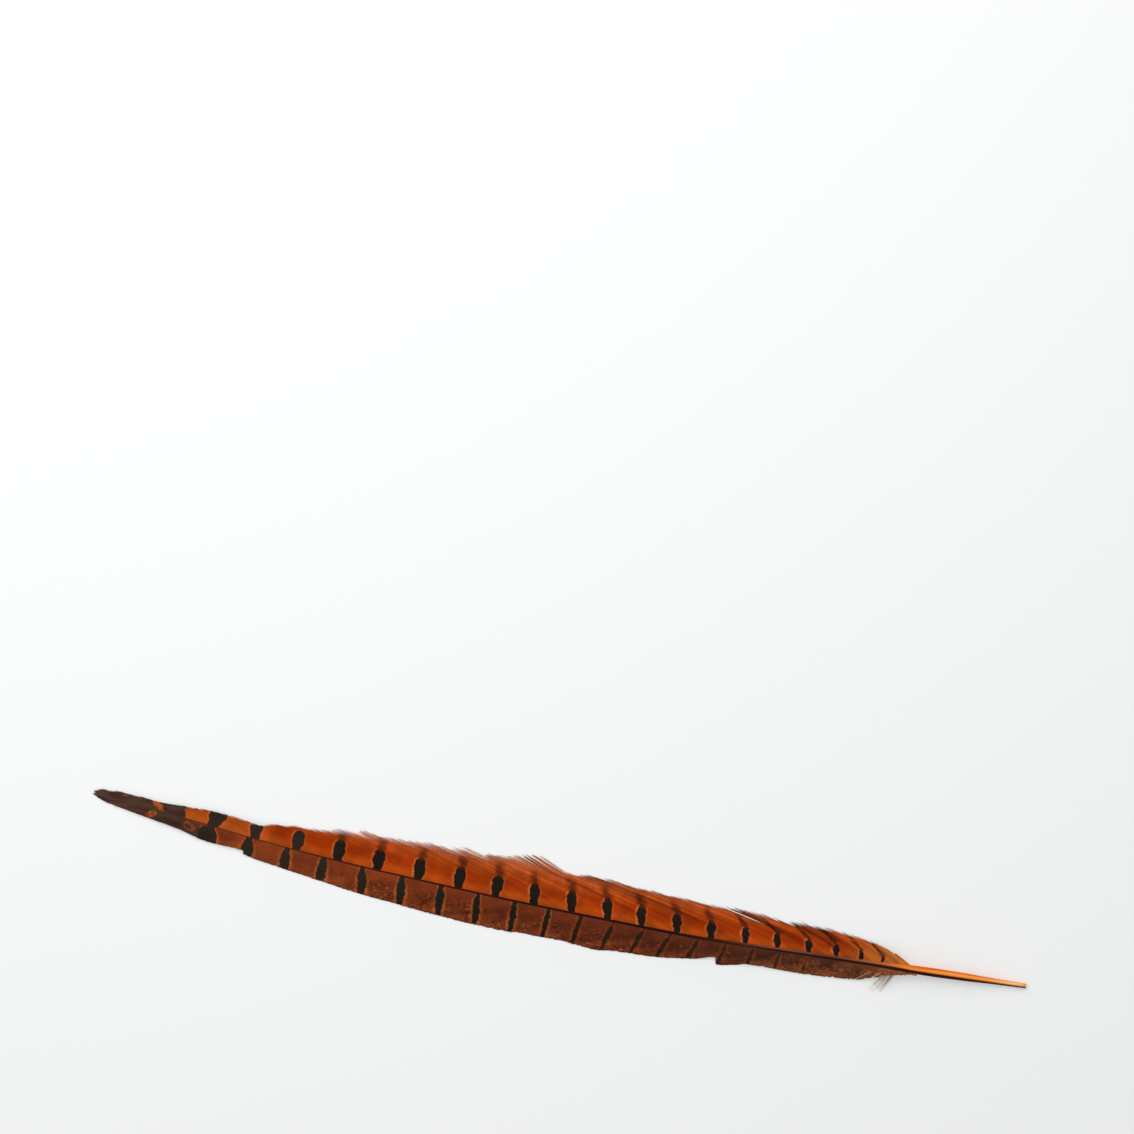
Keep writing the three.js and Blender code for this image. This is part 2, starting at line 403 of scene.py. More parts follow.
ROW_LAP = 4.0  # how far a face may run past its row of the texture
ROW_EDGE = 0.02  # what stays free on each side of a row, over its width
BLADE_UNDER = (0.5, 0, 0.5, 1)  # how far down each of the four points of a blade's ring is
NEEDLE_UNDER = (0.5, 0.5, 1, 0.5)  # and each of a needle's
FROM_BELOW = 0.51  # how far down the corners of a face are, on average, where it is seen from below


def tube_faces(tubes, rings, sides):
    """The walls and the ends of closed tubes, whose points come tube by tube and ring by ring."""
    side = np.arange(sides)
    beside = (side + 1) % sides
    ring = np.arange(rings - 1)[:, None] * sides
    walls = np.stack([ring + side, ring + beside, ring + sides + beside, ring + sides + side], axis=-1)
    ends = np.stack([side[::-1], (rings - 1) * sides + side])
    starts = np.arange(tubes)[:, None, None] * (rings * sides)
    return (starts + walls.reshape(-1, 4)).reshape(-1, 4), (starts + ends).reshape(-1, sides)


class Fibres:
    """The points of one piece's barbs and barbules, in fours, their groups of faces, and their values."""

    def __init__(self):
        self.points = np.empty((0, 3))
        self.groups = []
        self.values = {}

    def add(self, points, groups, under, values):
        """values has a number for each four points under each name, and under has four numbers."""
        points = points.reshape(-1, 3)
        self.groups += [group + len(self.points) for group in groups]
        self.points = np.concatenate([self.points, points])
        each = {label: np.repeat(rows.ravel(), 4) for label, rows in values.items()}
        each["under"] = np.tile(under, len(points) // 4)
        for label, numbers in each.items():
            self.values[label] = np.concatenate([self.values.get(label, []), numbers])

    def add_blades(self, path, half_widths, ridges, keels, slopes, values):
        """Closed tubes along the paths, with rings of an edge, the ridge, the other edge and the keel.
        slopes is how much the surface that the paths make rises towards +Y.
        """
        ahead = np.gradient(path[..., :2], axis=1)
        sideways = np.stack([-ahead[..., 1], ahead[..., 0]], axis=-1)
        sideways /= np.linalg.norm(sideways, axis=-1, keepdims=True)
        rings = np.repeat(path[:, :, None, :], 4, axis=2)
        rings[:, :, 0, :2] += sideways * half_widths[..., None]
        rings[:, :, 2, :2] -= sideways * half_widths[..., None]
        climb = half_widths * slopes * sideways[..., 1]
        rings[:, :, 0, 2] += climb
        rings[:, :, 2, 2] -= climb
        rings[:, :, 1, 2] += ridges
        rings[:, :, 3, 2] -= keels
        self.add(rings, tube_faces(*path.shape[:2], 4), BLADE_UNDER, values)

    def add_needles(self, base, direction, lengths, radius, values):
        """Thin closed spikes, with three points at the base and one at the tip."""
        base, direction = base.reshape(-1, 3), direction.reshape(-1, 3)
        sideways = np.stack([-direction[:, 1], direction[:, 0], np.zeros(len(base))], axis=-1)
        sideways /= np.linalg.norm(sideways, axis=-1, keepdims=True)
        points = np.repeat(base[:, None, :], 4, axis=1)
        points[:, 0] += sideways * radius
        points[:, 1] -= sideways * radius
        points[:, 2, 2] -= radius
        points[:, 3] += direction * lengths.reshape(-1, 1)
        corners = np.array([[0, 1, 3], [1, 2, 3], [2, 0, 3], [0, 2, 1]])
        faces = (np.arange(len(base))[:, None, None] * 4 + corners).reshape(-1, 3)
        self.add(points, [faces], NEEDLE_UNDER, values)

    def from_below(self, faces):
        return self.values["under"][faces].mean(axis=1, keepdims=True) > FROM_BELOW


def in_place(along, across, height, side):
    """The points at those measures, on the vane at that side of the shaft."""
    return np.stack([TIP_X + along, shaft_y(along) + side * across, height], axis=-1)


def texture_rows(along, share, rows):
    """Texture places, ahead and beside, for faces' corners: the length is cut into rows."""
    pitch = LENGTH / rows
    row = np.clip(np.floor(along.mean(axis=1, keepdims=True) / pitch), 0, rows - 1)
    ahead = (along - row * pitch + ROW_LAP) / (pitch + 2 * ROW_LAP)
    return ahead, (row + ROW_EDGE + (1 - 2 * ROW_EDGE) * share) / rows


def new_object(name, points, groups, values, corner_places):
    """A mesh object from groups of faces. values holds a number for each point under each name, and
    corner_places gives the texture places of a group's corners.
    """
    mesh = bpy.data.meshes.new(name)
    faces = [face for group in groups for face in group.tolist()]
    mesh.from_pydata((points * MILLIMETRE).tolist(), [], faces)
    work = bmesh.new()
    work.from_mesh(mesh)
    texture = work.loops.layers.uv.new("OFBake")
    places = np.concatenate([corner_places(group).reshape(-1, 2) for group in groups])
    for loop, place in zip((loop for face in work.faces for loop in face.loops), places.tolist()):
        loop[texture].uv = place
    bmesh.ops.recalc_face_normals(work, faces=work.faces)
    work.to_mesh(mesh)
    work.free()
    for label, numbers in values.items():
        layer = mesh.attributes.new(label, "FLOAT", "POINT")
        layer.data.foreach_set("value", np.ascontiguousarray(numbers, np.float32).ravel())
    mesh.update()
    piece = bpy.data.objects.new(name, mesh)
    bpy.context.scene.collection.objects.link(piece)
    return piece


# ---- vanes ----

BARB_RINGS = 20
LAST_BUT_ONE = 0.985  # where the ring before a barb's last one lies, over its length
COVER = 1.25  # a barb's width over the distance to its neighbour, where the vane holds together
LEAST_WIDTH = 0.02
RIDGE = 0.09
KEEL = 0.16
FULL_DEPTH = 0.15  # the width at which a barb's ridge and keel are as deep
LEAST_DEPTH = 0.3  # the share of them that the thinnest barb has
LOOSE = (-0.4, 1.6)  # beyond, between which the barbs come apart
LOOSE_TAPER = 3.0  # what a loose barb's point is longer
BUNCH_SHADOW = 0.3  # how much darker the first barb of a bunch gets,
BUNCH_SHADED = (-1.5, 2)  # between these beyond
BARBULES_FROM = 0.2  # beyond
BARE_END = 0.3  # of a barb, without barbules
BARBULE_ANGLE = 38.0
BARBULE_RISE = (-0.1, 0.2)  # over its length
BARBULE_LENGTHS = (0.4, 1.1)
BARBULE_RADIUS = 0.02

BAR_INSET = 0.5  # across, from where a bar widens and before where it is widest
BAR_NARROWS = (7.5, 12.5)  # across, near the margin
BAR_CLOSED = (0.97, 1)  # shares of the way to a bar's end
BAR_GONE = 0.35  # what its half width loses there
SMUDGED = (92, 108, 335, 350)  # along, where the bars' ends smudge
SMUDGE_STARTS = (-2.2, 0)  # past a bar's end
SMUDGE_FADES = (1.5, 6)  # past it too
SMUDGE_LASTS = (250, 290)  # along, between which it comes to fade less
LEAST = 0.5  # what is divided by, at least
VANE_ROWS = 3  # of the texture
VANE_WIDTH = 22.0  # across, that a row holds


def resample(rows, ends):
    """Each row from its start to its own end, at the rings of a barb."""
    shares = np.append(np.linspace(0, LAST_BUT_ONE, BARB_RINGS - 1), 1)
    steps = np.arange(rows.shape[1])
    return np.array([np.interp(shares * end, steps, row) for row, end in zip(rows, ends)])


def bar_half_width(vane, along, across):
    """Half the width of the dark bars, which narrow to the shaft and close at their outer end."""
    full = vane.full_bar(along)
    closing = np.clip((across - full) / np.maximum(vane.bar_end(along) - full, LEAST), 0, 1)
    widening = rise(across, BAR_INSET, full - BAR_INSET)
    shape = np.sqrt(1 - closing**2) * (vane.foot_bar + (1 - vane.foot_bar) * widening)
    shape = shape * (1 - vane.outer_narrowing * rise(across, *BAR_NARROWS))
    return vane.half_bars(along) * shape - BAR_GONE * rise(closing, *BAR_CLOSED)


def smudges(along, past_bar):
    """How strong the smudges at the bars' ends are."""
    fading = (0.9 - 0.3 * rise(along, *SMUDGE_LASTS)) * rise(past_bar, *SMUDGE_FADES)
    return rise(past_bar, *SMUDGE_STARTS) * (1 - fading) * plateau(along, *SMUDGED)


def markings(vane, along, across):
    """What the material needs for the dark bars: their number, distance and half width, and more."""
    past_bar = across - vane.bar_end(along)
    shifted = along - vane.lean(along) * (across - vane.full_bar(along))
    shifted = shifted - vane.fringe_lean(along) * np.clip(past_bar, 0, None)
    return {
        "bar": vane.bar_number(shifted),
        "pitch": 1 / (vane.bar_number(shifted + 0.5) - vane.bar_number(shifted - 0.5) + 1e-6),
        "half_bar": bar_half_width(vane, along, across),
        "smudge": smudges(along, past_bar),
        "share": across / np.maximum(vane.outline(along), LEAST),
    }


def add_barbules(fibres, vane, path, angle, values, spots):
    """Short barbules on the loose ends, each turned to one side of its barb."""
    count = len(spots[0])
    turned = angle[spots] + np.radians(BARBULE_ANGLE) * CHANCE.choice([-1, 1], count)
    upward = CHANCE.uniform(*BARBULE_RISE, count)
    direction = np.stack([-np.cos(turned), vane.side * np.sin(turned), upward], axis=-1)
    lengths = CHANCE.uniform(*BARBULE_LENGTHS, count)
    values = {label: rows[spots] for label, rows in values.items()}
    fibres.add_needles(path[spots], direction, lengths, BARBULE_RADIUS, values)


def build_vane(vane):
    roots, along, across, angle = lay_barbs(vane)
    gaps = neighbour_gaps(along, across, angle)
    shade = shade_of(vane, roots, along, across)
    across = open_splits(vane, roots, along, across)
    along, reach, first = bunch(vane, roots, along, across)
    ends = barb_ends(vane, roots, along, across, reach)

    left = (ends[:, None] - np.arange(along.shape[1])) * PATH_STEP
    beyond = across - vane.held(along)
    loose = rise(beyond, *LOOSE)
    shade = shade * (1 - BUNCH_SHADOW * first[:, None] * rise(beyond, *BUNCH_SHADED))
    widths = gaps * COVER * (1 - loose) + vane.hair(along) * loose
    widths = widths * np.sqrt(np.clip(left / (vane.taper + LOOSE_TAPER * loose), 0, 1)) + LEAST_WIDTH
    height = vane_height(along, across, vane.reach) + wander(roots, *HEIGHT_WANDER)[:, None]
    slope = vane.side * vane_slope(along, across, vane.reach)
    path = in_place(along, across, height, vane.side)

    values = {"along": along, "across": across, "loose": loose, "shade": shade}
    values.update(markings(vane, along + wanders(roots, PATTERN_WANDERS)[:, None], across))

    fibres = Fibres()
    at_rings = {label: resample(rows, ends) for label, rows in values.items()}
    half_widths, slope = resample(widths, ends) / 2, resample(slope, ends)
    depth = np.clip(2 * half_widths / FULL_DEPTH, LEAST_DEPTH, 1)
    rings = np.stack([resample(path[..., axis], ends) for axis in range(3)], axis=-1)
    fibres.add_blades(rings, half_widths, RIDGE * depth, KEEL * depth, slope, at_rings)
    if vane is FRINGED:
        spots = np.nonzero((beyond > BARBULES_FROM) & (left > BARE_END))
        add_barbules(fibres, vane, path, angle, values, spots)

    def places(faces):
        share = np.clip(fibres.values["across"][faces] / VANE_WIDTH, 0, 1)
        ahead, beside = texture_rows(fibres.values["along"][faces], share, VANE_ROWS)
        return np.stack([ahead, (beside + fibres.from_below(faces)) / 2], axis=-1)

    return new_object(vane.name, fibres.points, fibres.groups, fibres.values, places)


# ---- down ----

DOWN_BARBS = 7
DOWN_RINGS = 12
DOWN_WIDTH = 0.13
DOWN_TAPER = 0.25  # its width at the end, over that at the foot
DOWN_FEET = (341.0, 345.0)
DOWN_FOOT_JITTER = 0.3
DOWN_FOOT_DEPTH = 0.8  # over the shaft's radius
DOWN_FOOT_DROP = 0.2  # below the vane's foot
DOWN_SIZES = (0.45, 1)
FULL_SIZED = [2, 4]  # of the downy barbs
DOWN_RUN = (3.5, 6.0)  # along, for a full size
DOWN_MIDDLE = (-0.2, 4.5, -0.3)  # of its curve, from the foot: over its run, across and up
DOWN_END = (1.0, 10.5, 0.3)  # across, what a full size adds to that, and height
FLUFF_STEPS = 60  # places for barbules along each downy barb
FLUFF = (0.12, 0.99)  # over its length, where they start and end
FLUFF_ANGLES = (35, 70)
FLUFF_RISE = (-0.08, 0.35)
FLUFF_LENGTHS = (0.8, 1.9)
FLUFF_TAPER = (1.1, 0.6)  # the share of them at the foot, and what it loses to the end
FLUFF_RADIUS = 0.03
DOWN_TEXTURE_WIDTH = 13.0  # across
DOWN_TEXTURE_END = 2.0  # free before and behind it
DOWN_TEXTURE_EDGE = 0.04  # and on each side, over its width


def build_down():
    """Downy barbs at the foot of the mottled vane, which curve down to the floor."""
    jitter = CHANCE.uniform(-DOWN_FOOT_JITTER, DOWN_FOOT_JITTER, DOWN_BARBS)
    feet = np.linspace(*DOWN_FEET, DOWN_BARBS) + jitter
    size = CHANCE.uniform(*DOWN_SIZES, DOWN_BARBS)
    size[FULL_SIZED] = 1
    run = CHANCE.uniform(*DOWN_RUN, DOWN_BARBS) * size
    level = np.ones(DOWN_BARBS)
    foot_height = attachment(feet) - DOWN_FOOT_DROP
    start = np.stack([feet, DOWN_FOOT_DEPTH * shaft_radius(feet), foot_height], axis=-1)
    middle = start + DOWN_MIDDLE * np.stack([run, size, level], axis=-1)
    end = np.stack([feet - run, DOWN_END[0] + DOWN_END[1] * size, DOWN_END[2] * level], axis=-1)

    def trace(t):
        """Points on the barbs at the shares t of their length, and the values there."""
        t = t[None, :, None]
        path = start[:, None] * (1 - t) ** 2 + middle[:, None] * 2 * t * (1 - t) + end[:, None] * t**2
        along, across, height = np.moveaxis(path, -1, 0)
        return in_place(along, across, height, MOTTLED.side), {"along": along, "across": across}

    fibres = Fibres()
    path, values = trace(np.linspace(0, 1, DOWN_RINGS))
    half_widths = DOWN_WIDTH * np.linspace(1, DOWN_TAPER, DOWN_RINGS)[None] * level[:, None] / 2
    fibres.add_blades(path, half_widths, half_widths, half_widths, 0, values)

    shares = np.linspace(*FLUFF, FLUFF_STEPS)
    base, values = trace(shares)
    ahead = np.gradient(base, axis=1)
    heading = np.arctan2(ahead[..., 1], ahead[..., 0])
    for side in (-1, 1):
        turned = heading + side * np.radians(CHANCE.uniform(*FLUFF_ANGLES, heading.shape))
        upward = CHANCE.uniform(*FLUFF_RISE, heading.shape)
        direction = np.stack([np.cos(turned), np.sin(turned), upward], axis=-1)
        lengths = CHANCE.uniform(*FLUFF_LENGTHS, heading.shape)
        lengths = lengths * (FLUFF_TAPER[0] - FLUFF_TAPER[1] * shares)
        fibres.add_needles(base, direction, lengths, FLUFF_RADIUS, values)

    along, across = fibres.values["along"], fibres.values["across"]
    low, high = along.min() - DOWN_TEXTURE_END, along.max() + DOWN_TEXTURE_END

    def places(faces):
        ahead = (along[faces] - low) / (high - low)
        beside = DOWN_TEXTURE_EDGE + (1 - 2 * DOWN_TEXTURE_EDGE) * across[faces] / DOWN_TEXTURE_WIDTH
        return np.stack([ahead, (fibres.from_below(faces) + beside) / 2], axis=-1)

    return new_object("downy_barbs", fibres.points, fibres.groups, fibres.values, places)


# ---- shaft ----

SHAFT_SIDES = 28
SHAFT_RINGS = 201
SHAFT_ROWS = 8  # of the texture
GROOVE = 0.35  # the depth of the groove under the rachis, over the shaft's radius
GROOVE_WIDTH = 0.3
GROOVE_ENDS = (330, 352)  # along
HOLLOW = [(0.0, 0.62), (-3.0, 0.55), (-4.5, 0.2)]  # rings inside the open end: from the end, and size

PAINTED_SHADE_FROM = curve([  # where sideways, from 1 to -1, the shaft turns dark with painted shade on its side away from the light, towards the mottled vane
    (0, -0.9), (273, -0.4), (294, -0.05), (336, 0.1), (346, 0), (355, -0.14), (374, -0.2), (400, -0.3),
])
PAINTED_SHADE_EDGE = (-0.2, 0.16)
PAINTED_HIGHLIGHT_FROM = curve([(340, 0.3), (356, 0.55), (368, 0.8), (400, 0.8)])  # where sideways the shaft turns lighter, with a painted highlight
PAINTED_HIGHLIGHT_EDGE = (0, 0.4)
PAINTED_HIGHLIGHT_SPAN = (340, 352)  # along, where the painted highlight lies


def build_shaft():
    """The rachis and the calamus in one tube, grooved below and hollow at its open end."""
    along = np.linspace(0, LENGTH, SHAFT_RINGS)
    radius = shaft_radius(along)
    centre = attachment(along) - (VANE_ROOT - 1) * radius
    turn = (np.arange(SHAFT_SIDES) + 0.5) / SHAFT_SIDES
    sideways, upward = np.cos(2 * np.pi * turn), np.sin(2 * np.pi * turn)
    groove = GROOVE * np.exp(-(sideways / GROOVE_WIDTH) ** 2) * (upward < 0)
    grooved = 1 - rise(along, *GROOVE_ENDS)
    outer = np.stack([
        np.repeat((TIP_X + along)[:, None], SHAFT_SIDES, axis=1),
        shaft_y(along)[:, None] + radius[:, None] * sideways,
        centre[:, None] + radius[:, None] * (upward + groove * grooved[:, None]),
    ], axis=-1)
    middle = np.array([TIP_X + LENGTH, shaft_y(LENGTH), centre[-1]])
    inner = [middle + (outer[-1] - middle) * size + [depth, 0, 0] for depth, size in HOLLOW]
    points = np.concatenate([outer, inner])
    rings = len(points)
    along = np.concatenate([along, LENGTH + 1 + np.arange(len(HOLLOW))])[:, None]
    # a painted highlight along the calamus
    painted_highlight = rise(PAINTED_HIGHLIGHT_FROM(along) - sideways, *PAINTED_HIGHLIGHT_EDGE) * rise(along, *PAINTED_HIGHLIGHT_SPAN)
    values = {
        "along": np.repeat(along.ravel(), SHAFT_SIDES),
        # dark: painted shade on the shaft's side away from the light
        "dark": rise(PAINTED_SHADE_FROM(along) - sideways, *PAINTED_SHADE_EDGE).ravel(),
        "painted_highlight": painted_highlight.ravel(),
    }
    turns = np.tile(turn, rings)

    def places(faces):
        share = turns[faces]
        wraps = np.ptp(share, axis=1, keepdims=True) > 0.5
        share = np.where(wraps & (share < 0.5), share + 1, share)
        share = share / (1 + 1 / SHAFT_SIDES)
        return np.stack(texture_rows(values["along"][faces], share, SHAFT_ROWS), axis=-1)

    return new_object("quill", points.reshape(-1, 3), tube_faces(1, rings, SHAFT_SIDES), values, places)


# ---- materials ----


def srgb(red, green, blue):
    """A display colour, in 0 to 255, as the linear one of the nodes."""
    shares = [value / 255 for value in (red, green, blue)]
    return [x / 12.92 if x <= 0.04045 else ((x + 0.055) / 1.055) ** 2.4 for x in shares] + [1.0]


class Look:
    """A material, with short calls for the nodes that its pattern is made of."""

    def __init__(self, name, specular):
        self.material = bpy.data.materials.new(name)
        self.material.use_nodes = True
        self.nodes = self.material.node_tree.nodes
        self.links = self.material.node_tree.links
        self.surface = self.nodes["Principled BSDF"].inputs
        self.surface["Specular IOR Level"].default_value = specular
        self.place = self.node("TexCoord", {}, "Object")

    def put(self, socket, value):
        if isinstance(value, bpy.types.NodeSocket):
            self.links.new(value, socket)
        else:
            socket.default_value = value

    def node(self, kind, inputs, output=0, **settings):
        """One output of a new node. Its inputs are numbers, colours or the outputs of other nodes."""
        node = self.nodes.new("ShaderNode" + kind)
        for label, setting in settings.items():
            setattr(node, label, setting)
        for label, value in inputs.items():
            self.put(node.inputs[label], value)
        return node.outputs[output]

    def attributes(self, *names):
        return [self.node("Attribute", {}, "Fac", attribute_name=name) for name in names]

    def math(self, operation, *values):
        return self.node("Math", dict(enumerate(values)), operation=operation)

    def times(self, first, *others):
        for other in others:
            first = self.math("MULTIPLY", first, other)
        return first

    def less(self, first, second):
        return self.math("SUBTRACT", first, second)

    def between(self, share, start, end):
        """start where the share is 0 and end where it is 1, on a straight line between them."""
        return self.math("MULTIPLY_ADD", share, end - start, start)

    def rise(self, value, low, high):
        """0 at low and 1 at high, with a smooth step between them. low may be the larger one."""
        inputs = {"Value": value, "From Min": low, "From Max": high}
        return self.node("MapRange", inputs, interpolation_type="SMOOTHSTEP")

    def mix(self, factor, first, second, blend="MIX"):
        inputs = {0: factor, 6: first, 7: second}  # those for colours
        return self.node("Mix", inputs, 2, data_type="RGBA", blend_type=blend)

    def shaded(self, colour, shade):
        """The colour times a plain number."""
        grey = self.node("CombineColor", {"Red": shade, "Green": shade, "Blue": shade})
        return self.mix(1.0, colour, grey, "MULTIPLY")

    def ramp(self, value, stops):
        """The colour at a value, from stops of (value, red, green, blue)."""
        low, high = stops[0][0], stops[-1][0]
        node = self.nodes.new("ShaderNodeValToRGB")
        elements = node.color_ramp.elements
        elements[0].color, elements[1].color = srgb(*stops[0][1:]), srgb(*stops[-1][1:])
        for place, *colour in stops[1:-1]:
            elements.new((place - low) / (high - low)).color = srgb(*colour)
        self.put(node.inputs["Fac"], self.math("DIVIDE", self.less(value, low), high - low))
        return node.outputs["Color"]

    def noise(self, scale, detail=2.0, stretch=(1, 1, 1)):
        """Noise with this many bumps to the metre, divided by the stretch along each axis."""
        squeeze = [1 / share for share in stretch]
        place = self.node("Mapping", {"Vector": self.place, "Scale": squeeze})
        return self.node("TexNoise", {"Vector": place, "Scale": scale, "Detail": detail}, "Fac")

    def uneven(self, scale, low, high):
        """A number between low and high that changes from place to place."""
        return self.between(self.rise(self.noise(scale), 0.35, 0.65), low, high)

    def moved(self, value, noise, size):
        """The value, moved up and down by a noise."""
        return self.math("MULTIPLY_ADD", self.less(noise, 0.5), size, value)

    def ellipse(self, along, across, rough, centre, half_sizes, lean):
        """1 inside a leaning ellipse on the vane and 0 outside it. rough is a noise for its edge."""
        beside = self.less(across, centre[1])
        ahead = self.math("MULTIPLY_ADD", beside, lean, self.less(along, centre[0]))
        first = self.math("POWER", self.math("DIVIDE", ahead, half_sizes[0]), 2.0)
        second = self.math("POWER", self.math("DIVIDE", beside, half_sizes[1]), 2.0)
        size = self.moved(self.math("ADD", first, second), rough, 3.0)
        return self.rise(size, 1.35, 0.65)

    def finish(self, colour, roughness, relief, depth):
        """Gives the surface its colour, a roughness of (low, high) over the relief, and the relief."""
        self.put(self.surface["Base Color"], colour)
        self.put(self.surface["Roughness"], self.between(relief, *roughness))
        bump = self.node("Bump", {"Distance": depth * MILLIMETRE, "Height": relief})
        self.put(self.surface["Normal"], bump)
        return self.material


SHEEN = 0.06
BAR_WAVE = 1.6  # how far a bar's edge moves with a noise
ROUGH = (420, 3.0)  # the noise on the edges of smudges and patches
ORANGE_TIP = (49.0, 48.4)  # along, the edge of the fringed vane's dark tip
BROWN_TIP = (46.4, 45.8)
PATCH_ORANGE = srgb(176, 88, 34)
DUSK = srgb(92, 36, 14)
DEEP_DUSK = srgb(58, 24, 14)


def draw_bars(look, colour, black, halo, halo_strength, halo_reach, blur, lopsided=0.0):
    """Lays the black bars, and the lighter line along their edges, over a colour. That line is stronger
    on a bar's side towards the tip, and weaker on the other, by the share lopsided. Also gives the
    distance from the nearest bar's middle.
    """
    number, pitch, half = look.attributes("bar", "pitch", "half_bar")
    phase = look.math("FRACT", look.math("ADD", number, 0.5))
    away = look.times(look.math("ABSOLUTE", look.less(phase, 0.5)), pitch)
    outside = look.moved(look.less(away, half), look.noise(480, 1.5), BAR_WAVE)
    shown = look.rise(half, 0.1, 0.4)
    line = look.times(look.rise(outside, halo_reach, 0.1), shown, halo_strength)
    tip_side = look.rise(phase, 0.52, 0.46)
    line = look.times(line, look.between(tip_side, 1 - lopsided, 1 + lopsided))
    colour = look.mix(line, colour, halo)
    inside = look.times(look.rise(outside, blur, look.times(blur, -1.0)), shown)
    return look.mix(inside, colour, black), away


def tip_colour(look, along):
    """The umber of the dark tip, with blacker and paler streaks along it, darker away from the end."""
    umber = look.ramp(look.noise(420, 3.0, (5, 1, 1)), [
        (0.3, 62, 41, 39), (0.45, 84, 58, 47), (0.55, 94, 67, 51), (0.7, 106, 80, 61),
    ])
    return look.shaded(umber, look.between(look.rise(along, 8, 26), 1.0, 0.65))


def patched(look, colour, along, across, rough, patches):
    """Paints patches of (centre, half sizes, lean, strength, colour) over the colour."""
    for *form, strength, paint in patches:
        patch = look.ellipse(along, across, rough, *form)
        colour = look.mix(look.times(patch, strength), colour, paint)
    return colour


def finish_barbs(look, colour, shade, roughness):
    """Shades the barbs one by one, greys their underside, and gives them their grain."""
    under, = look.attributes("under")
    below = look.times(look.rise(under, 0.52, 0.62), 0.3)
    colour = look.mix(below, look.shaded(colour, shade), srgb(150, 122, 104))
    return look.finish(colour, roughness, look.noise(3000, 2.0, (3, 1, 1)), 0.02)


def fringed_ground(look, along, across, loose):
    """The orange between the bars: deep near the shaft, paler near the tip and foot and in the fringe."""
    colour = look.ramp(across, [
        (0, 160, 66, 16), (2.2, 168, 68, 10), (4.5, 149, 48, 0), (7, 147, 48, 0),
        (9.5, 166, 66, 12), (12.5, 184, 86, 34), (20, 172, 90, 56),
    ])
    near_tip = look.times(look.rise(along, 80, 70), 0.55)
    colour = look.mix(near_tip, colour, srgb(184, 92, 34))
    near_foot = look.rise(along, 318, 346)
    colour = look.mix(near_foot, colour, srgb(176, 100, 38))
    colour = look.shaded(colour, look.uneven(140, 0.86, 1.1))
    colour = look.shaded(colour, look.between(look.rise(along, 215, 245), 1.0, 0.93))
    fringe = look.mix(look.rise(along, 198, 216), srgb(186, 98, 56), srgb(152, 74, 38))
    return look.mix(look.times(loose, 0.85), colour, fringe)


def fringed_material():
    look = Look("orange barbs", SHEEN)
    along, across, loose, shade, smudge = look.attributes("along", "across", "loose", "shade", "smudge")
    colour = fringed_ground(look, along, across, loose)
    black = look.ramp(along, [
        (0, 56, 41, 33), (60, 54, 39, 31), (90, 46, 36, 28), (110, 26, 21, 15),
        (400, 26, 20, 14),
    ])
    halo_strength = look.uneven(300, 0.2, 0.6)
    colour, away = draw_bars(look, colour, black, srgb(204, 106, 50), halo_strength, 1.2, 0.22, 0.4)

    rough = look.noise(*ROUGH)
    deepening = look.rise(along, 255, 290)
    smudge_reach = look.between(deepening, 3.2, 1.4)
    smudge = look.times(look.rise(look.moved(away, rough, 4.0), smudge_reach, 0.3), smudge, 0.9)
    colour = look.mix(smudge, colour, look.mix(deepening, DUSK, DEEP_DUSK))

    gap_in_tip = look.ellipse(along, across, rough, (46.0, 2.0), (6.9, 4.6), 0.0)
    tip = look.times(look.rise(along, *ORANGE_TIP), look.less(1.0, gap_in_tip))
    colour = look.mix(tip, colour, tip_colour(look, along))
    colour = patched(look, colour, along, across, rough, [
        ((27.2, 2.1), (2.0, 1.9), 0.75, 1.0, PATCH_ORANGE),
        ((12.8, 2.3), (1.0, 0.35), 0.3, 0.5, PATCH_ORANGE),
    ])
    return finish_barbs(look, colour, shade, (0.5, 0.85))


def mottled_ground(look, along, share):
    """The brown between the bars: rusty towards the tip, umber near the quill, lighter at the margin."""
    colour = look.ramp(along, [
        (0, 134, 62, 30), (90, 132, 57, 22), (170, 113, 49, 19), (230, 99, 42, 18),
        (290, 72, 38, 21), (318, 76, 41, 25), (334, 112, 63, 38), (400, 136, 80, 50),
    ])
    colour = look.shaded(colour, look.uneven(150, 0.82, 1.12))
    violet = look.times(look.rise(look.noise(260), 0.5, 0.62), 0.35)
    colour = look.mix(violet, colour, srgb(108, 42, 36))
    rim_strength = look.between(look.rise(along, 280, 300), 0.3, 0.8)
    rim = look.times(look.rise(share, 0.45, 0.95), rim_strength)
    return look.mix(rim, colour, srgb(148, 80, 44))


def mottling(look, colour, along, share):
    """Pale blotches near the quill, and dark scrawls and light flecks over the outer part of the vane."""
    blotch = look.rise(look.noise(420), 0.47, 0.6)
    blotch = look.times(blotch, look.rise(along, 290, 312), look.rise(share, 0.1, 0.6), 0.6)
    colour = look.mix(blotch, colour, srgb(158, 88, 46))
    area = look.times(look.rise(share, 0.2, 0.55), look.rise(along, 70, 130))
    scrawl = look.math("ABSOLUTE", look.less(look.noise(820, 1.0), 0.5))
    scrawl = look.times(look.rise(scrawl, 0.08, 0.02), area, look.uneven(170, 0.2, 0.9))
    colour = look.mix(scrawl, colour, srgb(50, 24, 14))
    fleck = look.rise(look.noise(900, 1.0, (1, 1, 0.7)), 0.6, 0.7)
    fleck = look.times(fleck, area, look.uneven(120, 0.0, 0.8))
    return look.mix(fleck, colour, srgb(176, 96, 42))


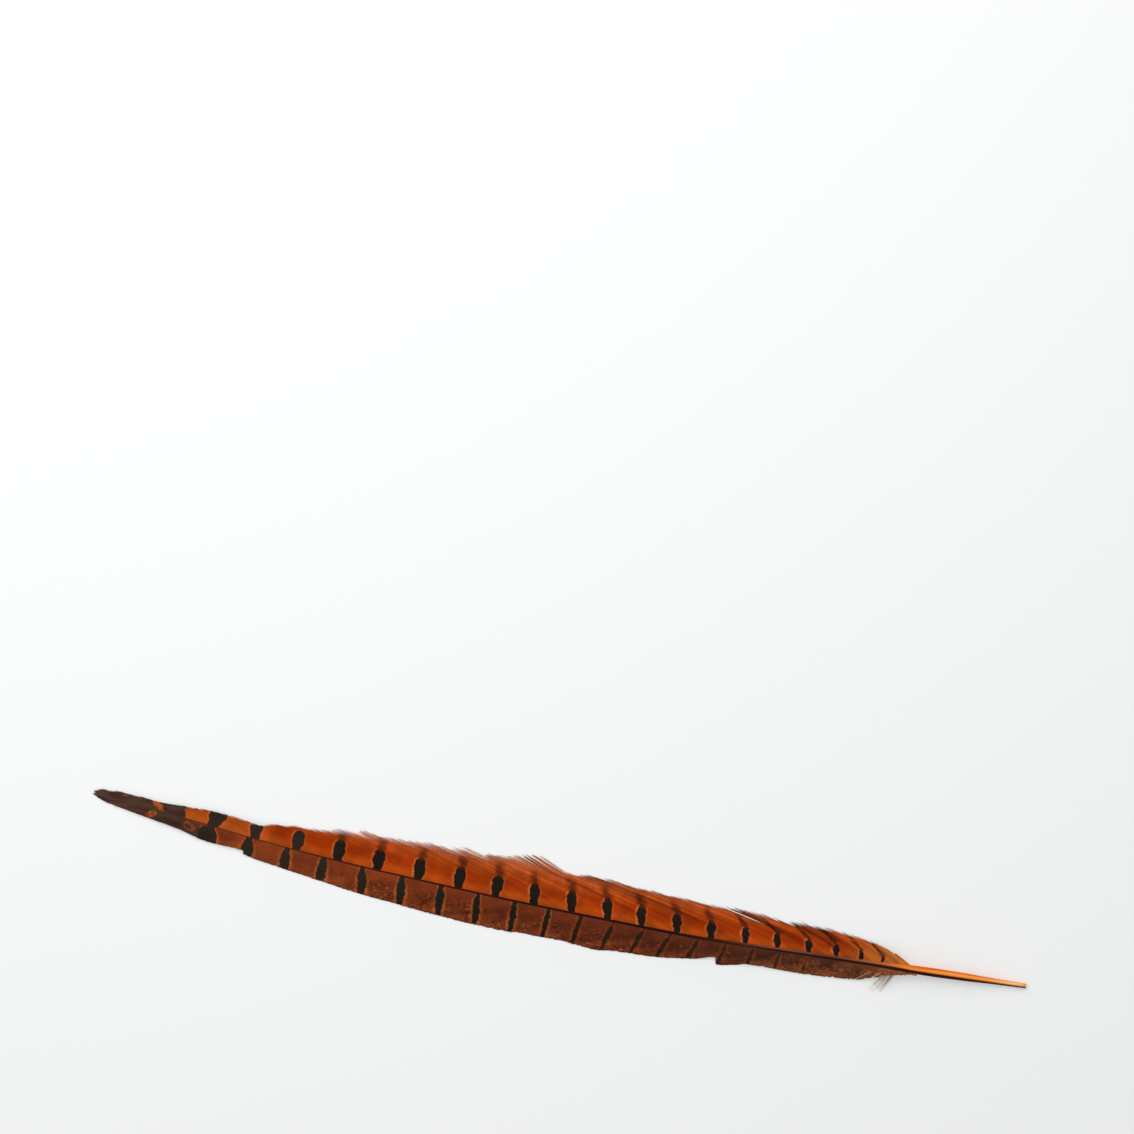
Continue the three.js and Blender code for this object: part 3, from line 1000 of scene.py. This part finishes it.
def mottled_tip(look, colour, along, across):
    """The dark tip, and near it an orange patch, a swirl with a dark core, and a strip by the shaft."""
    colour = look.mix(look.rise(along, *BROWN_TIP), colour, tip_colour(look, along))
    return patched(look, colour, along, across, look.noise(*ROUGH), [
        ((25.0, 2.2), (1.9, 1.6), 0.7, look.uneven(500, 0.35, 0.9), PATCH_ORANGE),
        ((41.6, 2.7), (2.7, 1.9), -0.3, 0.75, srgb(146, 70, 38)),
        ((41.0, 2.9), (1.3, 0.9), -0.6, 0.9, srgb(72, 44, 36)),
        ((45.4, 0.6), (3.6, 0.5), 0.0, 0.8, srgb(124, 50, 28)),
    ])


def mottled_material():
    look = Look("brown barbs", SHEEN)
    along, across, shade, share = look.attributes("along", "across", "shade", "share")
    colour = mottling(look, mottled_ground(look, along, share), along, share)
    black = look.ramp(along, [
        (0, 50, 38, 30), (90, 46, 37, 30), (150, 33, 30, 24), (195, 32, 26, 18),
        (215, 46, 28, 15), (400, 52, 32, 18),
    ])
    halo_reach = look.between(share, 0.6, 2.3)
    halo_strength = look.between(look.rise(along, 215, 190), 0.25, 0.8)
    halo_strength = look.times(halo_strength, look.uneven(280, 0.5, 1.2))
    blur = look.between(look.rise(along, 190, 230), 0.25, 0.6)
    colour, _ = draw_bars(look, colour, black, srgb(176, 88, 38), halo_strength, halo_reach, blur)
    colour = mottled_tip(look, colour, along, across)
    # a painted shadow along the margin: a thin dark line at its very edge
    edge = look.times(look.rise(share, 0.94, 0.99), 0.6)
    colour = look.mix(edge, colour, srgb(60, 26, 22))
    return finish_barbs(look, colour, shade, (0.55, 0.9))


def quill_material():
    look = Look("quill", SHEEN)
    along, dark, painted_highlight = look.attributes("along", "dark", "painted_highlight")
    top = look.ramp(along, [
        (0, 66, 44, 34), (60, 76, 32, 14), (126, 58, 11, 0), (189, 36, 8, 0),
        (252, 28, 7, 0), (273, 54, 22, 12), (294, 116, 62, 48), (318, 90, 50, 32),
        (336, 150, 88, 58), (348, 220, 110, 14), (360, 206, 92, 2),
        (380, 204, 96, 4), (393, 226, 136, 52), (400, 238, 156, 76),
    ])
    # light: the colours of the painted highlight along the calamus
    light = look.ramp(along, [
        (340, 236, 138, 66), (364, 250, 152, 62), (384, 250, 156, 78),
        (394, 246, 190, 134), (400, 246, 168, 92),
    ])
    # low: the colour of the painted shade on the shaft's side away from the light
    low = look.ramp(along, [
        (0, 56, 34, 24), (126, 56, 10, 0), (189, 34, 7, 0), (252, 26, 6, 0),
        (320, 38, 14, 5), (336, 46, 17, 4), (357, 44, 11, 3), (374, 58, 16, 3),
        (387, 88, 42, 14), (400, 94, 54, 26),
    ])
    # the painted highlight over the shaft's own colour
    colour = look.mix(look.times(painted_highlight, 0.85), top, light)
    # painted shade over the shaft's side away from the light
    colour = look.mix(dark, colour, low)
    grain = look.noise(600, 3.0, (8, 1, 1))
    colour = look.shaded(colour, look.between(grain, 0.85, 1.15))
    inside = look.rise(along, LENGTH + 0.2, LENGTH + 0.8)
    colour = look.mix(inside, colour, srgb(60, 28, 10))
    return look.finish(colour, (0.4, 0.6), grain, 0.03)


def down_material():
    look = Look("down", 0.1)
    across, = look.attributes("across")
    colour = look.ramp(across, [
        (0, 126, 86, 60), (3, 112, 78, 52), (6, 136, 104, 76), (9, 182, 162, 140),
        (12, 198, 184, 168),
    ])
    grain = look.noise(900)
    colour = look.shaded(colour, look.between(grain, 0.75, 1.25))
    return look.finish(colour, (0.7, 0.95), grain, 0.02)


# ---- the feather ----


def finish_piece(piece, material, node):
    piece.data.materials.append(material)
    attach(piece, "root")
    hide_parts(node)


for vane, make_material in ((FRINGED, fringed_material), (MOTTLED, mottled_material)):
    finish_piece(build_vane(vane), make_material(), vane.node)
quill = build_shaft()
quill.data.shade_smooth()
finish_piece(quill, quill_material(), "shaft")
finish_piece(build_down(), down_material(), "basal_down")

# ---- floor, light and camera ----

PHOTO_SIZE = 1134.0  # pixels each way
PHOTO_TIP = (95.0, 792.0)
PHOTO_END = (1026.0, 985.0)
CAMERA_DISTANCE = 3.0  # metres, as are the floor's size and the lamps' places and sizes
FLOOR_SIZE = 6.0
FLOOR_COLOUR = (0.84, 0.855, 0.85, 1)
LAMPS = [  # name, place, size, power and whether it casts shadows
    ("softbox", (-0.5, 0.9, 1.2), 1.5, 6.6, True),
    ("fill", (-0.6, 0.8, 1.5), 0.5, 13.6, False),
]
SKY = 0.55  # the strength of the even white light from all around


def build_floor():
    bpy.ops.mesh.primitive_plane_add(size=FLOOR_SIZE, location=(0, 0, 0))
    floor = bpy.context.object
    floor.name = "floor"
    look = Look("floor", 0.1)
    look.surface["Base Color"].default_value = FLOOR_COLOUR
    look.surface["Roughness"].default_value = 0.9
    floor.data.materials.append(look.material)


def build_light():
    """An even white sky, and the lamps, which face the middle of the floor."""
    world = bpy.data.worlds.new("studio")
    bpy.context.scene.world = world
    world.use_nodes = True
    sky = world.node_tree.nodes["Background"].inputs
    sky["Color"].default_value = (1, 1, 1, 1)
    sky["Strength"].default_value = SKY
    for name, place, size, power, shadows in LAMPS:
        lamp = bpy.data.lights.new(name, "AREA")
        lamp.shape = "DISK"
        lamp.size = size
        lamp.energy = power
        lamp.use_shadow = shadows
        holder = bpy.data.objects.new(name, lamp)
        x, y, z = place
        holder.location = place
        holder.rotation_euler = (-math.atan2(y, z), math.atan2(x, math.hypot(y, z)), 0)
        bpy.context.scene.collection.objects.link(holder)


def build_camera():
    """Looks straight down, with the feather's ends where the photograph has them."""
    run = (PHOTO_END[0] - PHOTO_TIP[0], PHOTO_END[1] - PHOTO_TIP[1])
    scale = LENGTH * MILLIMETRE / math.hypot(*run)
    turn = math.atan2(run[1], run[0])
    right, up = PHOTO_SIZE / 2 - PHOTO_TIP[0], PHOTO_TIP[1] - PHOTO_SIZE / 2
    x = TIP_X * MILLIMETRE + scale * (right * math.cos(turn) - up * math.sin(turn))
    y = CHORD_Y * MILLIMETRE + scale * (right * math.sin(turn) + up * math.cos(turn))
    data = bpy.data.cameras.new("camera")
    data.lens = data.sensor_width * CAMERA_DISTANCE / (PHOTO_SIZE * scale)
    camera = bpy.data.objects.new("camera", data)
    camera.location = (x, y, CAMERA_DISTANCE)
    camera.rotation_euler = (0, 0, turn)
    bpy.context.scene.collection.objects.link(camera)
    bpy.context.scene.camera = camera


build_floor()
build_light()
build_camera()
bpy.context.scene.view_settings.view_transform = "Standard"
